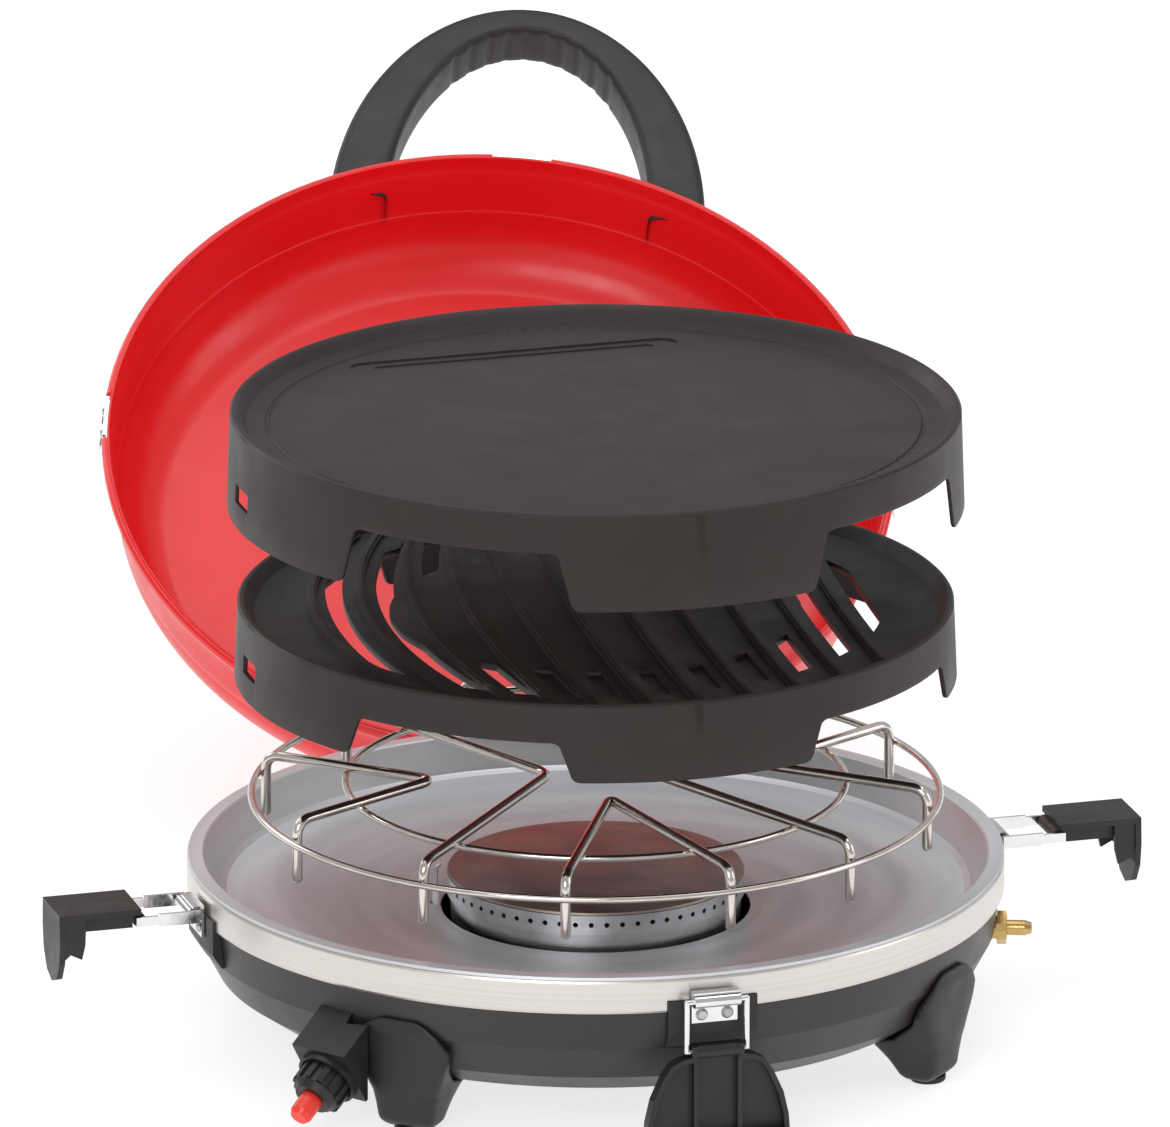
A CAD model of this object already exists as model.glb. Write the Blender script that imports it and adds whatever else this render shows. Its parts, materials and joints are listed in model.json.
"""Looks for the camp stove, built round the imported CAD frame. Lengths are in metres."""
import json
import math

import bmesh
import bpy
from mathutils import Matrix, Vector


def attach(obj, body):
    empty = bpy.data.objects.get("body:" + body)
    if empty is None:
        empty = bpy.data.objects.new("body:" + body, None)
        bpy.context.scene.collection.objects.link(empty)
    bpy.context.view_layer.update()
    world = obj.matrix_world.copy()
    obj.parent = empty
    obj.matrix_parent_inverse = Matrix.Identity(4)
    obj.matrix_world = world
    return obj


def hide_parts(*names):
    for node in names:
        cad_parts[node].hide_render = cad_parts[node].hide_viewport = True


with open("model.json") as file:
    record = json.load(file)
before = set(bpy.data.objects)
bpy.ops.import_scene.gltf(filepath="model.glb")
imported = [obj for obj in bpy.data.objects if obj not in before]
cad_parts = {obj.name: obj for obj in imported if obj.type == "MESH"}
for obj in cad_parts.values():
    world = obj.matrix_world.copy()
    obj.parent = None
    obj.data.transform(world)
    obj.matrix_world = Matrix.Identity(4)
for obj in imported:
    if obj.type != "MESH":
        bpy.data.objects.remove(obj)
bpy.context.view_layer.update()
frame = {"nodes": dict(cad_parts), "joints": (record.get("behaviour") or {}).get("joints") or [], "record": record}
NODES = frame["nodes"]
JOINTS = {j["name"]: j for j in frame["joints"]}
MM = 0.001
TAU = 2 * math.pi

# Rest heights and sizes shared with the CAD, in millimetres
RIM_Z = 78.3            # lid's edge when closed, just above the base's rim
SUPPORT_Z = 84.5        # feet of the wire support
GRILL_Z = 191           # rim of the grill plate
GRIDDLE_Z = 275         # rim of the griddle plate
DOME_CENTRE_R = 137.2   # centre of the lid's shoulder arc
DOME_BEND = 32          # radius of the lid's shoulder arc
LUG_X = 72              # handle lugs, left and right of the middle
SUPPORT_TURN = math.radians(-7.2)


# ---------------------------------------------------------------- materials

class Mat:
    """A Principled material whose colour, roughness and bump come from procedural nodes."""

    def __init__(self, name, color, rough, metal=0.0, **sockets):
        self.m = bpy.data.materials.new(name)
        self.m.use_nodes = True
        self.nt = self.m.node_tree
        self.b = self.nt.nodes["Principled BSDF"]
        self.b.inputs["Base Color"].default_value = (*color, 1)
        self.b.inputs["Roughness"].default_value = rough
        self.b.inputs["Metallic"].default_value = metal
        for key, value in sockets.items():
            self.b.inputs[key.replace("_", " ")].default_value = value
        self.color = color
        self.rough = rough
        self.normal = None
        self.coords = self.node("ShaderNodeTexCoord").outputs["Object"]

    def node(self, kind, **props):
        n = self.nt.nodes.new(kind)
        for key, value in props.items():
            setattr(n, key, value)
        return n

    def link(self, a, b):
        self.nt.links.new(a, b)

    def math(self, op, a, b=None):
        n = self.node("ShaderNodeMath", operation=op)
        for i, v in enumerate((a, b)):
            if v is None:
                continue
            if isinstance(v, (int, float)):
                n.inputs[i].default_value = v
            else:
                self.link(v, n.inputs[i])
        return n.outputs[0]

    def polar(self, kr, ka, kz):
        """Coordinates that run round the Z axis: radius, angle and height, each with its own scale."""
        sep = self.node("ShaderNodeSeparateXYZ")
        self.link(self.coords, sep.inputs[0])
        x, y, z = sep.outputs
        r = self.math("SQRT", self.math("ADD", self.math("MULTIPLY", x, x), self.math("MULTIPLY", y, y)))
        a = self.math("ARCTAN2", y, x)
        out = self.node("ShaderNodeCombineXYZ")
        self.link(self.math("MULTIPLY", r, kr), out.inputs[0])
        self.link(self.math("MULTIPLY", self.math("SINE", a), ka), out.inputs[1])
        zz = self.math("ADD", self.math("MULTIPLY", z, kz), self.math("MULTIPLY", self.math("COSINE", a), ka))
        self.link(zz, out.inputs[2])
        return out.outputs[0]

    def stretched(self, sx, sy, sz):
        n = self.node("ShaderNodeMapping")
        n.inputs["Scale"].default_value = (sx, sy, sz)
        self.link(self.coords, n.inputs["Vector"])
        return n.outputs[0]

    def noise(self, scale, detail=3, rough=0.55, vector=None):
        n = self.node("ShaderNodeTexNoise")
        n.inputs["Scale"].default_value = scale
        n.inputs["Detail"].default_value = detail
        n.inputs["Roughness"].default_value = rough
        self.link(vector or self.coords, n.inputs["Vector"])
        return n.outputs["Fac"]

    def voronoi(self, scale, vector=None):
        n = self.node("ShaderNodeTexVoronoi")
        n.inputs["Scale"].default_value = scale
        self.link(vector or self.coords, n.inputs["Vector"])
        return n.outputs["Distance"]

    def ramp(self, fac, stops):
        n = self.node("ShaderNodeValToRGB")
        while len(n.color_ramp.elements) < len(stops):
            n.color_ramp.elements.new(0.5)
        for e, (p, c) in zip(n.color_ramp.elements, stops):
            e.position = p
            e.color = (*c, 1)
        self.link(fac, n.inputs["Fac"])
        return n.outputs["Color"]

    def tint(self, fac, low, high, lo=0.35, hi=0.65):
        """Base colour wanders between low and high times the material's own colour."""
        a = tuple(min(1, c * low) for c in self.color)
        b = tuple(min(1, c * high) for c in self.color)
        self.link(self.ramp(fac, [(lo, a), (hi, b)]), self.b.inputs["Base Color"])

    def gloss(self, fac, spread, lo=0.3, hi=0.7):
        """Roughness wanders by spread round the material's own roughness."""
        n = self.node("ShaderNodeMapRange")
        n.inputs["From Min"].default_value = lo
        n.inputs["From Max"].default_value = hi
        n.inputs["To Min"].default_value = max(0.0, self.rough - spread)
        n.inputs["To Max"].default_value = min(1.0, self.rough + spread)
        self.link(fac, n.inputs["Value"])
        self.link(n.outputs[0], self.b.inputs["Roughness"])

    def bump(self, fac, strength, depth):
        n = self.node("ShaderNodeBump")
        n.inputs["Strength"].default_value = strength
        n.inputs["Distance"].default_value = depth
        self.link(fac, n.inputs["Height"])
        if self.normal is not None:
            self.link(self.normal, n.inputs["Normal"])
        self.normal = n.outputs[0]
        self.link(self.normal, self.b.inputs["Normal"])


def make_materials():
    mats = {}

    m = mats["red_enamel"] = Mat("red_enamel", (0.80, 0.006, 0.010), 0.34,
                               Coat_Weight=0.12, Coat_Roughness=0.12)
    m.tint(m.noise(5, 2), 0.93, 1.04)
    m.gloss(m.noise(60, 3), 0.05)
    m.bump(m.noise(420, 2), 0.10, 0.0004)

    m = mats["plate_coating"] = Mat("plate_coating", (0.024, 0.016, 0.015), 0.50, Specular_IOR_Level=0.35)
    m.tint(m.noise(40, 4), 0.93, 1.07)
    m.gloss(m.noise(30, 3), 0.06)
    m.bump(m.noise(900, 4, 0.7), 0.22, 0.0003)
    m.bump(m.voronoi(2600), 0.10, 0.0002)

    m = mats["charcoal_enamel"] = Mat("charcoal_enamel", (0.022, 0.018, 0.017), 0.42,
                                  Coat_Weight=0.1, Coat_Roughness=0.3)
    m.tint(m.noise(10, 3), 0.88, 1.15)
    m.gloss(m.noise(40, 3), 0.05)
    m.bump(m.noise(700, 3, 0.6), 0.12, 0.0003)

    m = mats["black_plastic"] = Mat("black_plastic", (0.012, 0.010, 0.010), 0.46)
    m.tint(m.noise(25, 3), 0.85, 1.25)
    m.gloss(m.noise(80, 3), 0.06)
    m.bump(m.voronoi(1500), 0.14, 0.0002)

    m = mats["foot_rubber"] = Mat("foot_rubber", (0.018, 0.018, 0.018), 0.75)
    m.tint(m.noise(60, 4), 0.8, 1.4)
    m.bump(m.noise(1200, 3), 0.2, 0.0003)

    m = mats["band_metal"] = Mat("band_metal", (0.70, 0.665, 0.63), 0.34, 0.85)
    brushed = m.noise(1.0, 4, 0.6, m.polar(1500, 1.5, 2600))
    m.tint(brushed, 0.90, 1.06)
    m.gloss(brushed, 0.08)
    m.bump(brushed, 0.18, 0.0001)

    m = mats["pan_metal"] = Mat("pan_metal", (0.74, 0.75, 0.78), 0.42, 0.5, Anisotropic=0.5)
    t = m.node("ShaderNodeTangent", direction_type="RADIAL", axis="Z")
    m.link(t.outputs[0], m.b.inputs["Tangent"])
    rings = m.noise(1.0, 4, 0.65, m.polar(2600, 0.6, 500))
    soft = m.noise(1.0, 2, 0.5, m.polar(60, 0.8, 20))
    m.tint(soft, 0.86, 1.08)
    m.gloss(rings, 0.10)
    m.bump(rings, 0.12, 0.00006)

    m = mats["cup_metal"] = Mat("cup_metal", (0.62, 0.62, 0.63), 0.33, 1.0)
    rings = m.noise(1.0, 4, 0.65, m.polar(1200, 1.5, 1200))
    m.tint(m.noise(50, 3), 0.8, 1.08)
    m.gloss(rings, 0.08)
    m.bump(rings, 0.3, 0.0001)

    m = mats["cap_metal"] = Mat("cap_metal", (0.34, 0.28, 0.25), 0.42, 0.9)
    m.tint(m.noise(30, 4), 0.75, 1.2)
    m.gloss(m.noise(120, 3), 0.08)
    m.bump(m.noise(1.0, 3, 0.6, m.polar(700, 2, 700)), 0.3, 0.0001)

    m = mats["chrome_steel"] = Mat("chrome_steel", (0.80, 0.80, 0.81), 0.12, 1.0)
    m.tint(m.noise(70, 3), 0.93, 1.04)
    m.gloss(m.noise(240, 4, 0.6), 0.06)
    m.bump(m.noise(1.0, 2, 0.5, m.stretched(900, 900, 90)), 0.06, 0.0001)

    m = mats["nickel_wire"] = Mat("nickel_wire", (0.74, 0.68, 0.63), 0.16, 1.0)
    m.tint(m.noise(60, 3), 0.86, 1.06)
    m.gloss(m.noise(200, 4, 0.6), 0.07)
    m.bump(m.noise(500, 3), 0.05, 0.0002)

    m = mats["plain_steel"] = Mat("plain_steel", (0.52, 0.51, 0.50), 0.32, 1.0)
    m.tint(m.noise(90, 4), 0.82, 1.1)
    m.gloss(m.noise(200, 3), 0.1)
    m.bump(m.noise(1.0, 3, 0.6, m.stretched(1200, 120, 1200)), 0.12, 0.0001)

    m = mats["plain_brass"] = Mat("plain_brass", (0.62, 0.42, 0.16), 0.28, 1.0)
    m.tint(m.noise(110, 4), 0.75, 1.12)
    m.gloss(m.noise(240, 3), 0.09)
    m.bump(m.noise(900, 3), 0.1, 0.0001)

    m = mats["red_plastic"] = Mat("red_plastic", (0.86, 0.035, 0.018), 0.32, Subsurface_Weight=0.04)
    m.tint(m.noise(160, 3), 0.9, 1.08)
    m.gloss(m.noise(300, 2), 0.06)
    m.bump(m.noise(1400, 3), 0.12, 0.0001)

    m = mats["lead_sleeve"] = Mat("lead_sleeve", (0.45, 0.02, 0.015), 0.55)
    m.tint(m.noise(90, 3), 0.8, 1.2)
    m.bump(m.noise(1500, 3), 0.15, 0.0001)

    m = mats["ceramic"] = Mat("ceramic", (0.80, 0.77, 0.70), 0.25, Coat_Weight=0.5, Coat_Roughness=0.1)
    m.tint(m.noise(200, 4), 0.92, 1.04)
    m.bump(m.noise(900, 3), 0.1, 0.0001)
    return mats


MATS = make_materials()

SPECIAL = {"burner_cap": "cap_metal", "burner_cup": "cup_metal"}
for part in frame["record"]["subparts"]:
    name = part["node"]
    node = NODES[name]
    look = SPECIAL.get(name, part["material_slot"])
    node.data.materials.clear()
    node.data.materials.append(MATS[look].m)


# ---------------------------------------------------------------- edges of the CAD pieces

def soften(o, width, segments=2, angle=32):
    """Rounds a piece's sharp edges a little, so that they catch the light."""
    bev = o.modifiers.new("edge", "BEVEL")
    bev.width = width
    bev.segments = segments
    bev.limit_method = "ANGLE"
    bev.angle_limit = math.radians(angle)
    bev.use_clamp_overlap = True
    bev.harden_normals = False
    for p in o.data.polygons:
        p.use_smooth = True


WIDE_EDGES = {"leg_front_right": 1.1, "leg_back_right": 1.1, "leg_back_left": 1.1, "leg_front_left": 1.1,
              "valve_pod": 0.9, "lever_left": 0.7, "lever_right": 0.7, "lever_front": 0.6, "grill_plate": 0.6,
              "griddle_plate": 0.6}
for name in NODES:
    soften(NODES[name], WIDE_EDGES.get(name, 0.4) * MM, 3 if name in WIDE_EDGES else 2)


# ---------------------------------------------------------------- detailed pieces

SLOTS = {part["node"]: part["material_slot"] for part in frame["record"]["subparts"]}
BODY_OF = {n: b for b, nodes in frame["record"]["behaviour"]["bodies"].items() for n in nodes}


def rounded(points, passes):
    """Cuts the corners of an open line again and again, keeping its two ends."""
    pts = [Vector(p) for p in points]
    for _ in range(passes):
        out = [pts[0]]
        for a, b in zip(pts, pts[1:]):
            out += [a.lerp(b, 0.25), a.lerp(b, 0.75)]
        pts = out + [pts[-1]]
    return pts


def piece(name, bm, node, matrix=None):
    """Turns a bmesh drawn in millimetres into a piece that stands for a CAD node."""
    bmesh.ops.remove_doubles(bm, verts=bm.verts, dist=0.001)
    bmesh.ops.recalc_face_normals(bm, faces=bm.faces)
    mesh = bpy.data.meshes.new(name)
    bm.to_mesh(mesh)
    bm.free()
    mesh.transform(Matrix.Scale(MM, 4))
    if matrix is not None:
        mesh.transform(matrix)
    for p in mesh.polygons:
        p.use_smooth = True
    mesh.materials.append(MATS[SLOTS[node]].m)
    o = bpy.data.objects.new(name, mesh)
    bpy.context.scene.collection.objects.link(o)
    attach(o, BODY_OF[node])
    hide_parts(node)
    return o


def loft(bm, rings, closed_ring=True, closed_path=False, cap=False):
    """Skins a row of rings of points."""
    rows = [[bm.verts.new(p) for p in ring] for ring in rings]
    n = len(rows[0])
    last = len(rows) if closed_path else len(rows) - 1
    for i in range(last):
        a = rows[i]
        b = rows[(i + 1) % len(rows)]
        for k in range(n if closed_ring else n - 1):
            bm.faces.new((a[k], a[(k + 1) % n], b[(k + 1) % n], b[k]))
    if cap:
        bm.faces.new(rows[0])
    if cap == "both":
        bm.faces.new(rows[-1][::-1])


def lathe(bm, profile, steps=192):
    """Spins a closed section of (radius, height) about Z."""
    rings = []
    for i in range(steps):
        a = TAU * i / steps
        rings.append([(r * math.cos(a), r * math.sin(a), z) for r, z in profile])
    loft(bm, rings, closed_path=True)


def wire(bm, points, radius, bend, sides=20):
    """A round wire along straight runs joined by bends, with round ends."""
    pts = [Vector(p) for p in points]
    path = [pts[0]]
    for a, b, c in zip(pts, pts[1:], pts[2:]):
        start = b + (a - b).normalized() * bend
        end = b + (c - b).normalized() * bend
        for k in range(13):
            t = k / 12
            path.append(start * (1 - t) ** 2 + b * 2 * t * (1 - t) + end * t * t)
    path.append(pts[-1])
    rings = []
    side = None
    for i, p in enumerate(path):
        run = (path[min(i + 1, len(path) - 1)] - path[max(i - 1, 0)]).normalized()
        if side is None:
            side = run.orthogonal().normalized()
        side = (side - run * side.dot(run)).normalized()
        other = run.cross(side)
        ring = [side * math.cos(TAU * k / sides) + other * math.sin(TAU * k / sides) for k in range(sides)]
        grow = [1.0]
        shift = [0.0]
        if i == 0:
            grow = [0.25, 0.7, 0.95, 1.0]
            shift = [-0.97, -0.7, -0.3, 0.0]
        elif i == len(path) - 1:
            grow = [1.0, 0.95, 0.7, 0.25]
            shift = [0.0, 0.3, 0.7, 0.97]
        for g, h in zip(grow, shift):
            rings.append([p + run * h * radius + v * radius * g for v in ring])
    loft(bm, rings, cap="both")


LID_OPEN = math.radians(148)
hinge = JOINTS["lid_hinge"]
HINGE_AT = Vector(hinge["pos_m"])
SWING = (Matrix.Translation(HINGE_AT) @ Matrix.Rotation(LID_OPEN, 4, Vector(hinge["axis"]))
         @ Matrix.Translation(-HINGE_AT))


def lid_line(thick):
    """Half section of the lid, from the rim to the middle, moved in by a thickness."""
    line = [(174.4 - thick, RIM_Z), (174.4 - thick, RIM_Z + 6), (172.6 - thick, RIM_Z + 10),
            (171.4 - thick, RIM_Z + 18), (170.2 - thick, RIM_Z + 30)]
    for k in range(13):
        a = math.radians(76 * k / 12)
        bend = DOME_BEND - thick
        line.append((DOME_CENTRE_R + bend * math.cos(a), RIM_Z + 31 + bend * math.sin(a)))
    line += [(110, RIM_Z + 64.0 - thick), (70, RIM_Z + 64.7 - thick), (0.4, RIM_Z + 65.1 - thick)]
    return [(p.x, p.y) for p in rounded([(x, y) for x, y in line], 3)]


def build_lid():
    bm = bmesh.new()
    lathe(bm, lid_line(0) + lid_line(1.1)[::-1])
    piece("lid_dome", bm, "lid_shell", SWING)


def wall_radius(z):
    """Outside radius of the closed lid's wall where the handle's feet meet it."""
    return 171.6 - 1.2 * (z - RIM_Z - 14) / 18


def dome_radius(z):
    """Outside radius of the closed lid, shoulder included."""
    if z < RIM_Z + DOME_BEND:
        return wall_radius(z)
    return DOME_CENTRE_R + math.sqrt(DOME_BEND ** 2 - (z - RIM_Z - 31) ** 2)


def build_handle():
    """Arch of the carrying handle with finger ribs inside its top, and the lugs that hold it."""
    outer = (85.0, 125.0)
    inner = (59.0, 111.0)
    low = RIM_Z + 14
    high = low + 23
    bm = bmesh.new()
    rings = []
    for i in range(0, 181):
        t = math.radians(i)
        out = Vector((outer[0] * math.cos(t), -155 - outer[1] * math.sin(t)))
        inn = Vector((inner[0] * math.cos(t), -155 - inner[1] * math.sin(t)))
        rib = 0.0
        if 50 < i < 130:
            rib = 1.0 * max(0.0, math.cos(TAU * (i - 52) / 8))
        ring = []
        for k in range(32):
            a = TAU * k / 32
            ca, sa = math.cos(a), math.sin(a)
            u = 0.5 + 0.5 * math.copysign(abs(ca) ** 0.42, ca)
            v = 0.5 + 0.5 * math.copysign(abs(sa) ** 0.30, sa)
            p = inn.lerp(out, u)
            if u < 0.3:
                p = p + (out - inn).normalized() * rib * (1 - abs(2 * v - 1) ** 6)
            z = low + (high - low) * v
            y = p.y
            if i in (0, 180):
                y = -math.sqrt(wall_radius(z) ** 2 - p.x ** 2) - 0.1
            ring.append((p.x, y, z))
        rings.append(ring)
    loft(bm, rings)
    for s in (-1, 1):
        rings = []
        for depth, grow in ((0.0, 0.86), (0.7, 0.95), (2.2, 1.0), (20.0, 1.0)):
            ring = []
            for k in range(32):
                a = TAU * k / 32
                ca, sa = math.cos(a), math.sin(a)
                x = s * LUG_X + 12 * grow * math.copysign(abs(ca) ** 0.45, ca)
                tall = (high + 10 - low) / 2 * grow
                z = (low + high + 14) / 2 + tall * math.copysign(abs(sa) ** 0.45, sa)
                y = -163 + depth
                if depth > 10:
                    y = -math.sqrt(dome_radius(z) ** 2 - x ** 2) - 0.4
                ring.append((x, y, z))
            rings.append(ring)
        loft(bm, rings, cap=True)
    piece("handle_arch", bm, "lid_handle", SWING)


def build_support():
    """The bent wires of the support, each with a rounded knee over its leg."""
    foot_r = 143.5
    top = SUPPORT_Z + 30 - 2.2
    foot = SUPPORT_Z + 2.35
    rows = {"support_wires_left": [(math.pi, 19, 70), (math.pi, 50.5, 20)],
            "support_wires_right": [(0, 19, 70), (0, 50.5, 20)],
            "support_wires_ends": [(-math.pi / 2, 14.2, 38), (math.pi / 2, 14.2, 38)]}
    for node, wires in rows.items():
        bm = bmesh.new()
        for a, half, tip in wires:
            h = math.radians(half)
            turns = [a + SUPPORT_TURN + s * h for s in (-1, 1)]
            ends = [(foot_r * math.cos(t), foot_r * math.sin(t)) for t in turns]
            mid = (tip * math.cos(a + SUPPORT_TURN), tip * math.sin(a + SUPPORT_TURN), top)
            path = [(*ends[0], foot), (*ends[0], top), mid, (*ends[1], top), (*ends[1], foot)]
            wire(bm, path, 2.2, 7.5)
        piece(node.replace("support_wires", "bent_wires"), bm, node)


def along(table, x):
    """Straight-line reading of a table of (x, y) pairs."""
    for (x0, y0), (x1, y1) in zip(table, table[1:]):
        if x <= x1:
            return y0 + (y1 - y0) * max(0.0, x - x0) / (x1 - x0)
    return table[-1][1]


def build_legs():
    """Smooth tapered legs that grow out of the shell."""
    shell = [(17, 134), (21, 150.2), (30, 163.1), (45, 171.1), (62, 173.4)]
    front = [(2.6, 168.2), (6, 170.6), (20, 172.6), (38, 174.2), (46, 174.6), (52, 173.6)]
    inside = [(2.6, 153.4), (10, 147), (17, 138.5)]
    width = [(2.6, 12.6), (6, 13.4), (12, 14.6), (24, 18.2), (34, 21.8), (40, 22.4), (46, 17.5),
             (50, 12), (52, 7.5)]
    heights = [2.6 + 49.2 * i / 56 for i in range(57)]
    spots = {"leg_front_right": -45, "leg_back_right": 45, "leg_back_left": 135, "leg_front_left": 225}
    for node, angle in spots.items():
        bm = bmesh.new()
        rings = []
        for i, z in enumerate(heights):
            ro = along(front, z)
            ri = along(inside, z) if z < 17 else along(shell, z)
            tuck = (0.90, 0.96)[i] if i < 2 else 1.0
            ring = []
            for k in range(40):
                a = TAU * k / 40
                ca, sa = math.cos(a), math.sin(a)
                rho = (ro + ri) / 2 + (ro - ri) / 2 * tuck * math.copysign(abs(ca) ** 0.4, ca)
                across = along(width, z) * tuck * math.copysign(abs(sa) ** 0.4, sa)
                phi = math.radians(angle) + across / 168
                ring.append((rho * math.cos(phi), rho * math.sin(phi), z))
            rings.append(ring)
        loft(bm, rings, cap="both")
        piece(node.replace("leg", "leg_fin"), bm, node)


def tab_line(tab):
    """Lower edge of a plate's skirt as (angle, height): four tabs with rounded corners."""
    gap = -17
    pts = [(-180, -tab)]
    for edge, falls in ((-148, 0), (-111, 1), (-69, 0), (-32, 1), (32, 0), (69, 1), (111, 0), (148, 1)):
        a, b = (gap, -tab) if falls else (-tab, gap)
        pts += [(edge - 4, a), (edge - 1.2, a)]
        pts += [(edge - 1.2 + 2.4 * f, a + (b - a) * f) for f in (0.3, 0.7)]
        pts += [(edge + 1.2, b), (edge + 4, b)]
    pts = rounded(pts + [(180, -tab)], 3)
    out = []
    for a, b in zip(pts, pts[1:]):
        n = max(1, math.ceil((b.x - a.x) / 1.1))
        out += [a.lerp(b, k / n) for k in range(n)]
    return out


def build_plate(node, r, wall, tab, rim_z):
    """Keeps the CAD plate's floor, ribs and rim, and gives it a skirt with rounded tabs."""
    cad = NODES[node]
    bm = bmesh.new()
    bm.from_mesh(cad.data)
    bm.transform(Matrix.Scale(1000, 4) @ cad.matrix_world)
    low = [v for v in bm.verts if v.co.z < rim_z - 10]
    bmesh.ops.delete(bm, geom=low, context="VERTS")
    # Upper and lower edge of the window in each side tab
    high = 19 - tab
    under = 11 - tab

    # Radii of the skirt's outside and inside at a height below the rim
    def outer(z):
        return r + 1.4 * (-1 - z) / (tab - 1)

    def inner(z):
        return r - wall + 0.2 + 1.2 * (-9.6 - z) / (tab - 9.6)

    line = tab_line(tab)
    cols = []
    for p in line:
        z = p.y
        z1, z2 = (high, under) if z < under - 1 else (-11, (z - 11) / 2)
        ro, ri = outer(z), inner(z)
        section = [(r, -1), (outer(z1), z1), (outer(z2), z2), (ro, z + 0.6), (ro - 0.25, z + 0.1),
                   ((ro + ri) / 2, z), (ri + 0.25, z + 0.1), (ri, z + 0.6), (inner(z2), z2),
                   (inner(z1), z1), (inner(-9.6), -9.6)]
        a = math.radians(p.x)
        cols.append([bm.verts.new((q * math.cos(a), q * math.sin(a), rim_z + h)) for q, h in section])
    count = len(cols)
    half = math.degrees(10 / r)
    holes = []
    for k in range(count):
        mid = line[k].x + 0.5 * ((line[(k + 1) % count].x - line[k].x) % 360)
        holes.append(min(abs(mid), 180 - abs(mid)) < half)
    for k in range(count):
        a, b = cols[k], cols[(k + 1) % count]
        for j in range(10):
            if holes[k] and j in (1, 8):
                continue
            bm.faces.new((a[j], b[j], b[j + 1], a[j + 1]))
        if holes[k]:
            bm.faces.new((a[1], b[1], b[9], a[9]))
            bm.faces.new((a[2], b[2], b[8], a[8]))
        if holes[k] != holes[k - 1]:
            bm.faces.new((a[1], a[2], a[8], a[9]))
    soften(piece(node + "_pressing", bm, node), 0.5 * MM, 3)


build_lid()
build_handle()
build_support()
build_legs()
build_plate("grill_plate", 152.8, 2.0, 34, GRILL_Z)
build_plate("griddle_plate", 155.6, 1.6, 42, GRIDDLE_Z)


# ---------------------------------------------------------------- camera, floor and light

def stage_and_light():
    cam = bpy.data.cameras.new("camera")
    cam.sensor_width = 36
    cam.lens = 575
    cam.clip_start = 0.5
    cam.clip_end = 40
    eye = bpy.data.objects.new("camera", cam)
    right = Vector((0.9598, -0.2807, 0.0))
    up = Vector((0.0837, 0.2862, 0.9545))
    back = Vector((-0.2679, -0.9161, 0.2982))
    aim = Vector((0, 0, 0.078)) - right * 0.0046 + up * 0.1217
    eye.matrix_world = Matrix.Translation(aim + back * 8.0) @ Matrix((right, up, back)).transposed().to_4x4()
    bpy.context.scene.collection.objects.link(eye)
    bpy.context.scene.camera = eye

    bm = bmesh.new()
    bmesh.ops.create_grid(bm, x_segments=4, y_segments=4, size=6)
    mesh = bpy.data.meshes.new("floor")
    bm.to_mesh(mesh)
    bm.free()
    floor = bpy.data.objects.new("floor", mesh)
    floor.location = (0, 0, -0.0002)
    look = Mat("floor_paper", (0.36, 0.36, 0.36), 0.9, Emission_Color=(1, 1, 1, 1), Emission_Strength=0.76)
    look.tint(look.noise(3, 2), 0.995, 1.0)
    mesh.materials.append(look.m)
    bpy.context.scene.collection.objects.link(floor)

    def panel(name, spot, aim_at, size, power, color=(1, 1, 1)):
        lamp = bpy.data.lights.new(name, "AREA")
        lamp.shape = "RECTANGLE"
        lamp.size, lamp.size_y = size
        lamp.energy = power
        lamp.color = color
        o = bpy.data.objects.new(name, lamp)
        o.location = spot
        o.rotation_mode = "QUATERNION"
        o.rotation_quaternion = (Vector(aim_at) - Vector(spot)).to_track_quat("-Z", "Y")
        bpy.context.scene.collection.objects.link(o)

    panel("top_panel", (0.1, 0.3, 2.4), (0, 0.05, 0.1), (2.6, 2.0), 25)
    panel("front_panel", (-1.5, -2.3, 1.5), (0, 0.05, 0.12), (1.6, 1.3), 26)
    panel("right_panel", (2.2, -0.9, 0.9), (0, 0, 0.12), (1.0, 1.3), 8)
    panel("back_panel", (-1.2, 2.0, 1.2), (0, 0.1, 0.2), (1.4, 0.8), 8)

    world = bpy.data.worlds.new("studio")
    world.use_nodes = True
    bg = world.node_tree.nodes["Background"]
    bg.inputs["Color"].default_value = (1, 1, 1, 1)
    bg.inputs["Strength"].default_value = 0.5
    nodes = world.node_tree.nodes
    links = world.node_tree.links
    plain = nodes.new("ShaderNodeBackground")
    rays = nodes.new("ShaderNodeLightPath")
    mix = nodes.new("ShaderNodeMixShader")
    links.new(rays.outputs["Is Camera Ray"], mix.inputs[0])
    links.new(bg.outputs[0], mix.inputs[1])
    links.new(plain.outputs[0], mix.inputs[2])
    links.new(mix.outputs[0], nodes["World Output"].inputs["Surface"])
    bpy.context.scene.world = world
    bpy.context.scene.view_settings.view_transform = "Standard"
    bpy.context.scene.view_settings.look = "None"


stage_and_light()
